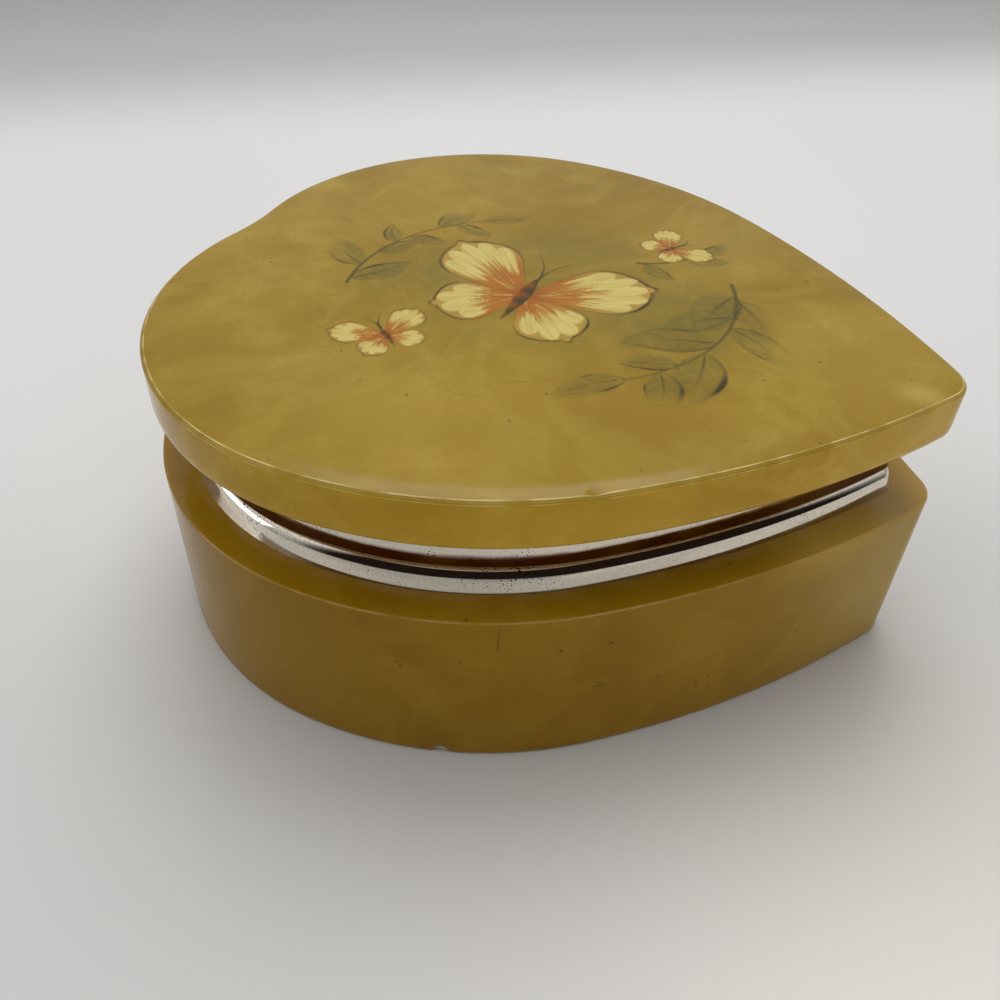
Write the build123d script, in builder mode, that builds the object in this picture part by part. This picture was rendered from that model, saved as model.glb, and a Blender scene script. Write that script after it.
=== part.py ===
"""Heart-shaped alabaster trinket box with two plated metal bands and a small tube hinge at the notch.

Millimetres, +Z up. The box stands on Z = 0 and is symmetric about X = 0. The heart's notch and the hinge
are at the back (+Y), its tip is at the front (-Y), and the origin is under the middle of the box.
"""

import os
from math import asin, atan2, cos, degrees, radians, sin, sqrt

from build123d import *

# Heart outline of the base stone, in plan: one notch, then on each side a lobe, a shoulder and a side
notch_radius = 36.4
lobe_radius = 38.5
lobe_spread = 9.9  # from the middle line to each lobe's centre
shoulder_radius = 55.3
shoulder_turn = 37.8  # degrees that the shoulder arc turns, from the widest point on
side_radius = 147.9

# Radius at the tip of each outline
base_tip = 5.1
lid_tip = 5.5
rim_tip = 3.0
mouth_tip = 4.0
hollow_tip = 7.0

# Base stone
base_height = 25.0
base_floor = 7.0
base_edge = 0.5
foot_chamfer = 0.4
hollow_round = 5.0

# Lid stone
lid_inset = 0.5  # in from the base's outline
lid_thickness = 7.6
lid_top_edge = 0.6
lid_lower_edge = 1.85
dish_depth = 1.5
dish_round = 1.0

# Metal bands: a channel, open towards its stone, with its closed side at the seam
rim_inset = 4.1  # of the base band's foot, in from the base's outline
base_rim_height = 2.8
base_rim_lean = 1.2  # how far the base band's outer face leans in, from foot to seam
base_rim_round = 1.8
rim_spare = 1.0  # of upright wall below the leaning one, cut off again
lid_rim_inset = 5.1
lid_rim_height = 7.05
lid_rim_bead = 0.45
rim_width = 3.2  # of the base band's top, its rounded edge included
rim_sheet = 0.6
seam_gap = 0.15

# Locating lips of stone inside the bands, with the cement beyond them
base_lip_height = 1.0
lid_lip_height = 5.0
lip_clearance = 0.15
hollow_setback = 0.2  # of the stone's hollow, out from the band's inner face

# Hinge
knuckle_radius = 1.5
knuckle_count = 5
hinge_length = 18.0
knuckle_gap = 0.15
pin_radius = 0.75
pin_clearance = 0.05
pin_head_radius = 1.2
pin_head_length = 0.5
hinge_clearance = 0.5  # from the barrels to the lid band
base_saddle_height = 1.7
lid_saddle_height = 1.1
saddle_lift = 0.3  # from the stone or the seam to a saddle
saddle_reach = 4.0  # from the hinge line towards the band, cut off where the band starts

# Outlines measured in from the base's outline
base_rim_top_inset = rim_inset + base_rim_lean
mouth_inset = base_rim_top_inset + rim_width
channel_outer_inset = base_rim_top_inset + rim_sheet
channel_inner_inset = mouth_inset - rim_sheet
hollow_inset = mouth_inset + hollow_setback
lid_channel_outer_inset = lid_rim_inset + rim_sheet

# Levels
seam_z = base_height + base_rim_height
lid_rim_foot_z = seam_z + seam_gap
lid_bottom_z = lid_rim_foot_z + lid_rim_height
lid_top_z = lid_bottom_z + lid_thickness

# Centres of the heart's arcs, before it is moved to the middle of the box
notch_turn = degrees(asin(lobe_spread / (notch_radius + lobe_radius)))
notch_centre_y = sqrt((notch_radius + lobe_radius) ** 2 - lobe_spread**2)
shoulder_centre_x = lobe_spread + lobe_radius - shoulder_radius
side_reach = side_radius - shoulder_radius
side_centre_x = shoulder_centre_x - side_reach * cos(radians(shoulder_turn))
side_centre_y = side_reach * sin(radians(shoulder_turn))


def tip_centre_y(grow, tip_radius):
    """Height of the tip arc's centre, where that arc meets both side arcs smoothly."""
    return side_centre_y - sqrt((side_radius + grow - tip_radius) ** 2 - side_centre_x**2)


def tip_y(grow, tip_radius):
    """Front end of an outline."""
    return tip_centre_y(grow, tip_radius) - tip_radius


middle_y = (lobe_radius + tip_y(0, base_tip)) / 2  # midway between the lobes' back and the tip


def heart(grow, tip_radius):
    """Adds a heart to the open sketch: the base's outline moved out by grow, with this radius at its tip."""
    tip_centre = (0, tip_centre_y(grow, tip_radius))
    side_end = degrees(atan2(tip_centre[1] - side_centre_y, -side_centre_x))
    arcs = [
        ((0, notch_centre_y), notch_radius - grow, -90, notch_turn - 90),
        ((lobe_spread, 0), lobe_radius + grow, notch_turn + 90, 0),
        ((shoulder_centre_x, 0), shoulder_radius + grow, 0, -shoulder_turn),
        ((side_centre_x, side_centre_y), side_radius + grow, -shoulder_turn, side_end),
        (tip_centre, tip_radius, side_end, -90),
    ]
    with BuildLine() as outline:
        for (x, y), radius, start, end in arcs:
            CenterArc((x, y - middle_y), radius, start, end - start)
        mirror(about=Plane.YZ)
    make_face(outline.edges())


def heart_ring(outer_inset, inner_inset, tip_radius, inner_tip_radius):
    """Adds the band between two hearts to the open sketch."""
    heart(-outer_inset, tip_radius)
    with BuildSketch(mode=Mode.PRIVATE) as middle:
        heart(-inner_inset, inner_tip_radius)
    add(middle.sketch, mode=Mode.SUBTRACT)


def edges_at(part, z):
    """The edges that lie flat at this height."""
    return part.edges().filter_by_position(Axis.Z, z - 0.001, z + 0.001)


# Base stone, hollowed, with a low lip that locates its band
with BuildPart() as base_bowl:
    with BuildSketch():
        heart(0, base_tip)
    extrude(amount=base_height)
    fillet(edges_at(base_bowl, base_height), base_edge)
    chamfer(edges_at(base_bowl, 0), foot_chamfer)
    with BuildSketch(Plane.XY.offset(base_height)):
        heart_ring(
            channel_outer_inset + lip_clearance,
            channel_inner_inset - lip_clearance,
            rim_tip,
            mouth_tip,
        )
    extrude(amount=base_lip_height)
    with BuildSketch(Plane.XY.offset(base_floor)):
        heart(-hollow_inset, hollow_tip)
    extrude(amount=base_height - base_floor, mode=Mode.SUBTRACT)
    fillet(edges_at(base_bowl, base_floor), hollow_round)
base_bowl.part.label = "base_bowl"

# Outside of the base band, filled: it leans in and rounds over to the seam
with BuildPart() as base_rim_form:
    with BuildSketch(Plane.XY.offset(base_height - rim_spare)):
        heart(-rim_inset, rim_tip)
    extrude(amount=base_rim_height + rim_spare)
    chamfer(edges_at(base_rim_form, seam_z), base_rim_height, base_rim_lean)
    fillet(edges_at(base_rim_form, seam_z), base_rim_round)
    split(bisect_by=Plane.XY.offset(base_height), keep=Keep.TOP)

# Base band, that form made into a pressed channel
with BuildPart() as base_rim:
    add(base_rim_form.part)
    with BuildSketch(Plane.XY.offset(base_height)):
        heart(-mouth_inset, mouth_tip)
    extrude(amount=base_rim_height, mode=Mode.SUBTRACT)
    with BuildSketch(Plane.XY.offset(base_height)):
        heart_ring(channel_outer_inset, channel_inner_inset, rim_tip, mouth_tip)
    extrude(amount=base_rim_height - rim_sheet, mode=Mode.SUBTRACT)
base_rim.part.label = "base_rim"

# Cement between the base stone's lip and its band
with BuildPart() as base_rim_cement:
    with BuildSketch(Plane.XY.offset(base_height + base_lip_height)):
        heart_ring(channel_outer_inset, channel_inner_inset, rim_tip, mouth_tip)
    extrude(amount=base_rim_height - rim_sheet - base_lip_height)
base_rim_cement.part.label = "base_rim_cement"

# Lid stone, dished underneath, with a lip that locates its band
with BuildPart() as lid_slab:
    with BuildSketch(Plane.XY.offset(lid_top_z)):
        heart(-lid_inset, lid_tip)
    extrude(amount=-lid_thickness)
    fillet(edges_at(lid_slab, lid_top_z), lid_top_edge)
    fillet(edges_at(lid_slab, lid_bottom_z), lid_lower_edge)
    with BuildSketch(Plane.XY.offset(lid_bottom_z)):
        heart_ring(
            lid_channel_outer_inset + lip_clearance,
            channel_inner_inset - lip_clearance,
            rim_tip,
            mouth_tip,
        )
    extrude(amount=-lid_lip_height)
    with BuildSketch(Plane.XY.offset(lid_bottom_z)):
        heart(-hollow_inset, hollow_tip)
    extrude(amount=dish_depth, mode=Mode.SUBTRACT)
    fillet(edges_at(lid_slab, lid_bottom_z + dish_depth), dish_round)
lid_slab.part.label = "lid_slab"

# Outside of the lid band, filled: it is upright, with a small rounded edge at the seam
with BuildPart() as lid_rim_form:
    with BuildSketch(Plane.XY.offset(lid_rim_foot_z)):
        heart(-lid_rim_inset, rim_tip)
    extrude(amount=lid_rim_height)
    fillet(edges_at(lid_rim_form, lid_rim_foot_z), lid_rim_bead)

# Lid band, that form made into a channel
with BuildPart() as lid_rim:
    add(lid_rim_form.part)
    with BuildSketch(Plane.XY.offset(lid_rim_foot_z)):
        heart(-mouth_inset, mouth_tip)
    extrude(amount=lid_rim_height, mode=Mode.SUBTRACT)
    with BuildSketch(Plane.XY.offset(lid_bottom_z)):
        heart_ring(lid_channel_outer_inset, channel_inner_inset, rim_tip, mouth_tip)
    extrude(amount=rim_sheet - lid_rim_height, mode=Mode.SUBTRACT)
lid_rim.part.label = "lid_rim"

# Cement between the lid stone's lip and its band
with BuildPart() as lid_rim_cement:
    with BuildSketch(Plane.XY.offset(lid_rim_foot_z + rim_sheet)):
        heart_ring(lid_channel_outer_inset, channel_inner_inset, rim_tip, mouth_tip)
    extrude(amount=lid_rim_height - rim_sheet - lid_lip_height)
lid_rim_cement.part.label = "lid_rim_cement"

# Hinge line, behind both bands, at the seam
lid_rim_back_y = lobe_radius - lid_rim_inset - middle_y
hinge_y = lid_rim_back_y + hinge_clearance + knuckle_radius
hinge_z = seam_z + seam_gap / 2
knuckle_length = (hinge_length - (knuckle_count - 1) * knuckle_gap) / knuckle_count
knuckle_pitch = knuckle_length + knuckle_gap
first_knuckle_x = -hinge_length / 2 + knuckle_length / 2
knuckle_xs = [first_knuckle_x + i * knuckle_pitch for i in range(knuckle_count)]
bore_radius = pin_radius + pin_clearance


def knuckles(xs, saddle_z, saddle_height, band_form):
    """Hinge tubes at these places, each on a solder saddle that starts at saddle_z and runs to the band."""
    with BuildPart() as tubes:
        for x in xs:
            with BuildSketch(Plane.YZ.offset(x)):
                with Locations((hinge_y, hinge_z)):
                    Circle(knuckle_radius)
                with Locations((hinge_y, saddle_z)):
                    Rectangle(saddle_reach, saddle_height, align=(Align.MAX, Align.MIN))
            extrude(amount=knuckle_length / 2, both=True)
        add(band_form, mode=Mode.SUBTRACT)
        with BuildSketch(Plane.YZ):
            with Locations((hinge_y, hinge_z)):
                Circle(bore_radius)
        extrude(amount=hinge_length, both=True, mode=Mode.SUBTRACT)
    return tubes.part


base_saddle_z = base_height + saddle_lift
hinge_base_knuckles = knuckles(knuckle_xs[0::2], base_saddle_z, base_saddle_height, base_rim_form.part)
hinge_base_knuckles.label = "hinge_base_knuckles"
lid_saddle_z = lid_rim_foot_z + saddle_lift
hinge_lid_knuckles = knuckles(knuckle_xs[1::2], lid_saddle_z, lid_saddle_height, lid_rim_form.part)
hinge_lid_knuckles.label = "hinge_lid_knuckles"

# Pin through all the tubes, with both ends spread into heads
with BuildPart() as hinge_pin:
    with BuildSketch(Plane.YZ):
        with Locations((hinge_y, hinge_z)):
            Circle(pin_radius)
    extrude(amount=hinge_length / 2, both=True)
    for side in (-1, 1):
        with BuildSketch(Plane.YZ.offset(side * hinge_length / 2)):
            with Locations((hinge_y, hinge_z)):
                Circle(pin_head_radius)
        extrude(amount=side * pin_head_length)
hinge_pin.part.label = "hinge_pin"

os.makedirs("parts", exist_ok=True)
export_step(base_bowl.part, "parts/base_bowl.step")
export_step(base_rim.part, "parts/base_rim.step")
export_step(base_rim_cement.part, "parts/base_rim_cement.step")
export_step(lid_slab.part, "parts/lid_slab.step")
export_step(lid_rim.part, "parts/lid_rim.step")
export_step(lid_rim_cement.part, "parts/lid_rim_cement.step")
export_step(hinge_base_knuckles, "parts/hinge_base_knuckles.step")
export_step(hinge_lid_knuckles, "parts/hinge_lid_knuckles.step")
export_step(hinge_pin.part, "parts/hinge_pin.step")
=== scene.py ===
"""Looks of the heart-shaped alabaster trinket box, dressed over its packed construction.

Lengths are written in millimetres, and MM turns them into Blender's metres. The heart's tip points to -Y, its
notch and its hinge are at +Y, and the box stands on Z = 0. The box rides on the body "base", and its lid on
the body "lid".
"""

import math
import random

import bpy
import numpy as np
from mathutils import Matrix, Vector, noise


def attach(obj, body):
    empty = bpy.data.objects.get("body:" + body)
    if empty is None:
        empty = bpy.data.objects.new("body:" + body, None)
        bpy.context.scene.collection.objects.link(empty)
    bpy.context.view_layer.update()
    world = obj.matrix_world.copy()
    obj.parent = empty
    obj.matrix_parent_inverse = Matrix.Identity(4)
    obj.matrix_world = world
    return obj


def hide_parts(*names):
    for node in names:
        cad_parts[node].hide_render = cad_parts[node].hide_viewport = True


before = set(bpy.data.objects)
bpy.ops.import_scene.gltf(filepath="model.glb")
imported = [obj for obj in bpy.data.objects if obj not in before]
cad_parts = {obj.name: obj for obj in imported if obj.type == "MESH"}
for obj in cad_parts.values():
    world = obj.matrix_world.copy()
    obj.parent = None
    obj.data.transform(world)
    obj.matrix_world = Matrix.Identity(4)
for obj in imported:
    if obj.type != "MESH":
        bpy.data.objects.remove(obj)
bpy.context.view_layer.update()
MM = 0.001

# Heart outline of the base stone, as in the construction
NOTCH_RADIUS = 36.4
LOBE_RADIUS = 38.5
LOBE_SPREAD = 9.9
SHOULDER_RADIUS = 55.3
SHOULDER_TURN = 37.8
SIDE_RADIUS = 147.9

# Levels above the table
HOLLOW_FLOOR = 7.0
BASE_TOP = 25.0
BASE_LIP_TOP = 26.0
SEAM = 27.8
LID_RIM_FOOT = 27.95
LID_LIP_FOOT = 30.0
LID_BOTTOM = 35.0
DISH_TOP = 36.5
LID_TOP = 42.6
SKIN = 0.02  # the outer wall stays this far inside the construction's
PAINT_DEPTH = 0.05  # the stone stays this far below the top of the box, so that the paint fits over it

# How far each outline lies in from the base's outline
LID_INSET = 0.5
FOOT_INSET = 0.8
BAND_REFLECTION_INSET = 3.1  # the ledge carries a painted reflection of the band from here to it
BASE_RIM_INSET = 4.1
BASE_RIM_TOP_INSET = 5.3
LID_RIM_INSET = 5.1
MOUTH_INSET = 8.5
HOLLOW_INSET = 8.7
SHEET = 0.6
LID_BAND_TAPER = 0.25
LIP_GAP = 0.15

# Tip radius of an outline, plus its inset. An outline and those offset from it share one value
BASE_REACH = 5.1
LID_REACH = 6.0
BAND_REFLECTION_REACH = 6.6
BASE_RIM_REACH = 7.1
LID_RIM_REACH = 8.1
LID_CHANNEL_REACH = 8.7
BASE_CHANNEL_REACH = 8.9
MOUTH_REACH = 12.5
CHANNEL_BACK_REACH = 11.9
HOLLOW_REACH = 15.7

# Inset and reach of the last outline of each flat face, inside which its fan starts
UNDERSIDE_FAN = (5.6, BASE_REACH + 4)
HOLLOW_FAN = (15.1, HOLLOW_REACH + 2)
DISH_FAN = (13.6, HOLLOW_REACH + 2)
LID_FAN = (7.0, LID_REACH + 3)

# Radii of the rounded corners of the stones and the bands
FOOT_ROUND = 0.5
LEDGE_ROUND = 0.22
HOLLOW_ROUND = 5.0
DISH_ROUND = 1.0
LID_UNDERSIDE_ROUND = 1.85
SHOULDER_ROUND = 1.8
MOUTH_ROUND = 0.25
SEAM_ROUND = 0.45

# The lid's bevel, from its side to its face: how far in each corner lies, and how far below the face
BEVEL_LOW = (0.0, 0.5)
BEVEL_MIDDLE = (0.22, 0.32)
BEVEL_HIGH = (0.45, 0.14)
FACE_EDGE = 2.1  # the face is flat from here on

# Longest steps along a profile
STONE_STEP = 1.2
BAND_STEP = 0.8

# Chips: place, size and depth
BASE_CHIP = ((-45.3, -3.9, 0.0), 1.3, 0.5)
LID_CHIP = ((-37.3, -17.8, 42.2), 1.1, 0.4)
PAINTED_GLOW_DEPTH = 0.4  # the base stone's colour is painted lighter, as painted light through the stone, down to this depth below its top

# Points along each arc of half an outline: notch, lobe, shoulder, side, tip
ARC_STEPS = (16, 110, 60, 110, 24)

# Centres of the arcs, before the outline is moved to the middle of the box
notch_turn = math.degrees(math.asin(LOBE_SPREAD / (NOTCH_RADIUS + LOBE_RADIUS)))
notch_y = math.sqrt((NOTCH_RADIUS + LOBE_RADIUS) ** 2 - LOBE_SPREAD**2)
shoulder_x = LOBE_SPREAD + LOBE_RADIUS - SHOULDER_RADIUS
side_reach = SIDE_RADIUS - SHOULDER_RADIUS
side_x = shoulder_x - side_reach * math.cos(math.radians(SHOULDER_TURN))
side_y = side_reach * math.sin(math.radians(SHOULDER_TURN))


def tip_centre(inset, tip_radius):
    """Y of the tip arc's centre."""
    return side_y - math.sqrt((SIDE_RADIUS - inset - tip_radius) ** 2 - side_x**2)


MIDDLE_Y = (LOBE_RADIUS + tip_centre(0, BASE_REACH) - BASE_REACH) / 2
FAN_SHIFT = 4.0  # how far the middle of the fans lies from the lobes' centres, towards the tip
HEART_MIDDLE = Vector((0.0, -MIDDLE_Y - FAN_SHIFT))  # where the fans that close a piece meet


def outline(inset, reach):
    """Points of the heart in millimetres, all the way round from the notch, at this inset."""
    tip_radius = reach - inset
    tip_y = tip_centre(inset, tip_radius)
    side_end = math.degrees(math.atan2(tip_y - side_y, -side_x))
    arcs = [
        ((0, notch_y), NOTCH_RADIUS + inset, -90, notch_turn - 90),
        ((LOBE_SPREAD, 0), LOBE_RADIUS - inset, notch_turn + 90, 0),
        ((shoulder_x, 0), SHOULDER_RADIUS - inset, 0, -SHOULDER_TURN),
        ((side_x, side_y), SIDE_RADIUS - inset, -SHOULDER_TURN, side_end),
        ((0, tip_y), tip_radius, side_end, -90),
    ]
    half = []
    for ((x, y), radius, start, end), steps in zip(arcs, ARC_STEPS):
        for i in range(steps):
            angle = math.radians(start + (end - start) * i / steps)
            half.append(Vector((x + radius * math.cos(angle), y - MIDDLE_Y + radius * math.sin(angle))))
    half.append(Vector((0, tip_y - MIDDLE_Y - tip_radius)))
    other = [Vector((-p.x, p.y)) for p in half[-2:0:-1]]
    return half + other


def rounded(rows, steps):
    """A profile with its corners rounded.

    A row is (inset, z, reach, wear), and then its corner's radius if it has one. The wear value, which sets
    nicks and painted highlight, peaks on that corner.
    """
    out = [rows[0]]
    for before, corner, after in zip(rows, rows[1:], rows[2:]):
        if len(corner) < 5:
            out.append(corner)
            continue
        here = Vector(corner[:2])
        to_before = (Vector(before[:2]) - here).normalized()
        to_after = (Vector(after[:2]) - here).normalized()
        half_angle = to_before.angle(to_after) / 2
        size = corner[4]
        back = size / math.tan(half_angle)
        middle = here + (to_before + to_after).normalized() * (size / math.sin(half_angle))
        first = here + to_before * back - middle
        last = here + to_after * back - middle
        turn = first.angle(last)
        for i in range(steps + 1):
            t = i / steps
            arm = (first * math.sin((1 - t) * turn) + last * math.sin(t * turn)) / math.sin(turn)
            out.append((middle.x + arm.x, middle.y + arm.y, corner[2], corner[3] * math.sin(math.pi * t)))
    out.append(rows[-1])
    return out


def refined(rows, longest):
    """A profile with rows added so that no two are further apart than this."""
    out = [rows[0]]
    for a, b in zip(rows, rows[1:]):
        parts = max(1, math.ceil(math.hypot(b[0] - a[0], b[1] - a[1]) / longest))
        for i in range(1, parts + 1):
            t = i / parts
            wear_and_painted_light = b[3] if i == parts else 0
            out.append((a[0] + (b[0] - a[0]) * t, a[1] + (b[1] - a[1]) * t, a[2] + (b[2] - a[2]) * t, wear_and_painted_light))
    return out


def closing_rings(row, steps):
    """Loops that shrink from a row's outline to the middle of the heart, for a flat end."""
    edge = outline(row[0], row[2])
    rings = []
    for i in range(1, steps):
        t = 1 - i / steps
        rings.append([(HEART_MIDDLE.lerp(p, t), row[1], 0) for p in edge])
    return rings


def sweep(name, rows, start_fan=0, end_fan=0):
    """A mesh that carries a profile round the heart. It is closed by flat ends, or else on itself."""
    loops = [[(p, z, wear_and_painted_light) for p in outline(inset, reach)] for inset, z, reach, wear_and_painted_light in (r[:4] for r in rows)]
    if start_fan:
        loops = closing_rings(rows[0], start_fan)[::-1] + loops
    if end_fan:
        loops = loops + closing_rings(rows[-1], end_fan)
    count = len(loops[0])
    verts = [Vector((p.x, p.y, z)) for loop in loops for p, z, _ in loop]
    wear_and_painted_light = [w for loop in loops for _, _, w in loop]
    faces = []
    joined = len(loops) if not (start_fan or end_fan) else len(loops) - 1
    for i in range(joined):
        a, b = i * count, (i + 1) % len(loops) * count
        for j in range(count):
            k = (j + 1) % count
            faces.append((a + j, b + j, b + k, a + k))
    last = (len(loops) - 1) * count
    for fan, first, z in ((start_fan, 0, loops[0][0][1]), (end_fan, last, loops[-1][0][1])):
        if not fan:
            continue
        verts.append(Vector((HEART_MIDDLE.x, HEART_MIDDLE.y, z)))
        wear_and_painted_light.append(0)
        middle = len(verts) - 1
        for j in range(count):
            k = (j + 1) % count
            faces.append((first + j, first + k, middle) if first == 0 else (first + k, first + j, middle))
    mesh = bpy.data.meshes.new(name)
    mesh.from_pydata([v * MM for v in verts], [], faces)
    flip_if_inside_out(mesh)
    mesh.shade_smooth()
    mesh.set_sharp_from_angle(angle=math.radians(40))
    layer = mesh.attributes.new("wear_and_painted_light", "FLOAT", "POINT")
    layer.data.foreach_set("value", [float(w) for w in wear_and_painted_light])
    return added(name, mesh)


def added(name, data):
    """An object that is made of this data, in the scene."""
    made = bpy.data.objects.new(name, data)
    bpy.context.scene.collection.objects.link(made)
    return made


def flip_if_inside_out(mesh):
    """Turns every face outwards, going by the sign of the mesh's volume."""
    volume = 0.0
    for face in mesh.polygons:
        a = mesh.vertices[face.vertices[0]].co
        for i in range(1, len(face.vertices) - 1):
            b = mesh.vertices[face.vertices[i]].co
            c = mesh.vertices[face.vertices[i + 1]].co
            volume += a.dot(b.cross(c))
    if volume < 0:
        mesh.flip_normals()


def worn(piece, chips, nick, seed):
    """Nicks the worn edges of a stone, and breaks out its chips.

    nick is how deep the nicks are, and a chip is (place, size, depth), all in millimetres.
    """
    mesh = piece.data
    wear_and_painted_light = mesh.attributes["wear_and_painted_light"].data
    shift = Vector((seed * 7.3, seed * 3.1, seed * 5.7))
    normals = [Vector(v.vector) for v in mesh.vertex_normals]
    for vertex, edge, normal in zip(mesh.vertices, wear_and_painted_light, normals):
        place = vertex.co / MM
        depth = 0.0
        if edge.value > 0:
            dents = max(0.0, noise.noise(place * 0.35 + shift) - 0.25)
            nicks = max(0.0, noise.noise(place * 1.6 + shift) - 0.38)
            depth += nick * (dents * 1.2 + nicks * 2.2) * edge.value
        for centre, size, hollow in chips:
            away = (place - Vector(centre)).length
            if away < size:
                rough = 0.75 + 0.5 * noise.noise(place * 2.4 + shift)
                depth += hollow * rough * (1 - (away / size) ** 2)
        if depth:
            vertex.co -= normal * depth * MM
    mesh.update()


def store_painted_glow(piece, amount):
    """Stores how much the stone's colour is painted lighter at each place, from 0 to 1: painted light through
    the stone.
    """
    layer = piece.data.attributes.new("painted_glow", "FLOAT", "POINT")
    pairs = zip(piece.data.vertices, piece.data.vertex_normals)
    layer.data.foreach_set("value", [min(1.0, max(0.0, amount(v.co / MM, n.vector))) for v, n in pairs])


def linear(*rgb):
    """A colour read on screen, from 0 to 255, as the linear colour that a shader takes."""
    return tuple((c / 255 / 12.92) if c <= 10 else ((c / 255 + 0.055) / 1.055) ** 2.4 for c in rgb) + (1.0,)


class Nodes:
    """A node tree, with short ways to add to it."""

    def __init__(self, tree):
        self.tree = tree

    def put(self, socket, value):
        """Sets a socket, or links it when the value is another node's output."""
        if isinstance(value, bpy.types.NodeSocket):
            self.tree.links.new(value, socket)
        else:
            socket.default_value = value

    def node(self, kind, settings=(), **inputs):
        """Adds a node, sets its properties, and sets or links its inputs."""
        made = self.tree.nodes.new(kind)
        for key, value in dict(settings).items():
            setattr(made, key, value)
        for key, value in inputs.items():
            self.put(made.inputs[key.replace("_", " ")], value)
        return made

    def math(self, operation, a, b=0.0):
        """One step of arithmetic."""
        node = self.node("ShaderNodeMath", {"operation": operation})
        self.put(node.inputs[0], a)
        self.put(node.inputs[1], b)
        return node.outputs[0]

    def vector(self, operation, a, b=(0, 0, 0)):
        """One step of arithmetic on vectors."""
        node = self.node("ShaderNodeVectorMath", {"operation": operation})
        self.put(node.inputs[0], a)
        self.put(node.inputs[1], b)
        return node.outputs["Value" if operation in ("LENGTH", "DOT_PRODUCT") else "Vector"]

    def ramp(self, value, low, high, to_low=0.0, to_high=1.0):
        """Maps a value from one range to another, smoothly and clamped."""
        node = self.node("ShaderNodeMapRange", {"interpolation_type": "SMOOTHSTEP"}, Value=value)
        for key, number in (("From Min", low), ("From Max", high), ("To Min", to_low), ("To Max", to_high)):
            self.put(node.inputs[key], number)
        return node.outputs["Result"]

    def mix(self, amount, a, b, blend="MIX"):
        """Mixes two colours."""
        node = self.node("ShaderNodeMix", {"data_type": "RGBA", "blend_type": blend})
        self.put(node.inputs[0], amount)
        self.put(node.inputs[6], a)
        self.put(node.inputs[7], b)
        return node.outputs[2]


class Shader(Nodes):
    """A material's nodes, with the patterns that its surface is made of."""

    def __init__(self, name):
        self.material = bpy.data.materials.new(name)
        self.material.use_nodes = True
        super().__init__(self.material.node_tree)
        self.surface = self.tree.nodes["Principled BSDF"]

    def place(self):
        """Coordinates in millimetres on the piece at rest."""
        coords = self.node("ShaderNodeTexCoord").outputs["Object"]
        return self.vector("MULTIPLY", coords, (1 / MM, 1 / MM, 1 / MM))

    def noise(self, place, size, detail=3.0, rough=0.55, distortion=0.0):
        """Soft noise whose features are about this many millimetres across."""
        return self.node(
            "ShaderNodeTexNoise",
            Vector=place,
            Scale=1 / size,
            Detail=detail,
            Roughness=rough,
            Distortion=distortion,
        ).outputs["Fac"]

    def scatter(self, place, density):
        """Distance to the nearest of strewn points, of which a millimetre holds about this many."""
        cells = self.node("ShaderNodeTexVoronoi", Vector=place, Scale=density, Randomness=1.0)
        return cells.outputs["Distance"]

    def near(self, place, centre, size, stretch=(1, 1, 1)):
        """1 at a place in millimetres, falling softly to 0 at this distance from it."""
        away = self.vector("MULTIPLY", self.vector("SUBTRACT", place, centre), stretch)
        return self.ramp(self.vector("LENGTH", away), size, 0.0)

    def attribute(self, name):
        """A value or colour stored on the mesh."""
        return self.node("ShaderNodeAttribute", {"attribute_name": name})

    def set(self, **inputs):
        """Sets or links inputs of the surface."""
        for key, value in inputs.items():
            self.put(self.surface.inputs[key.replace("_", " ")], value)

    def bump(self, height, strength, distance):
        """Roughens the surface by a height, which stands for this many millimetres."""
        node = self.node("ShaderNodeBump", Strength=strength, Distance=distance * MM, Height=height)
        self.set(Normal=node.outputs["Normal"])


# Colours of the plating, and of the specks in the stone
SPECK = linear(84, 56, 14)
PLATING = linear(224, 217, 203)
HINGE_PLATING = linear(206, 200, 188)
DULL_PLATING = linear(150, 140, 122)
# Painted gold reflection of the lid stone's underside, by the seam
PAINTED_GOLD_REFLECTION = linear(214, 182, 126)
# Painted dark reflection of the shaded ledge, on the lid band by the seam
PAINTED_DARK_REFLECTION = linear(98, 38, 34)
PIT = linear(46, 34, 26)


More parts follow.
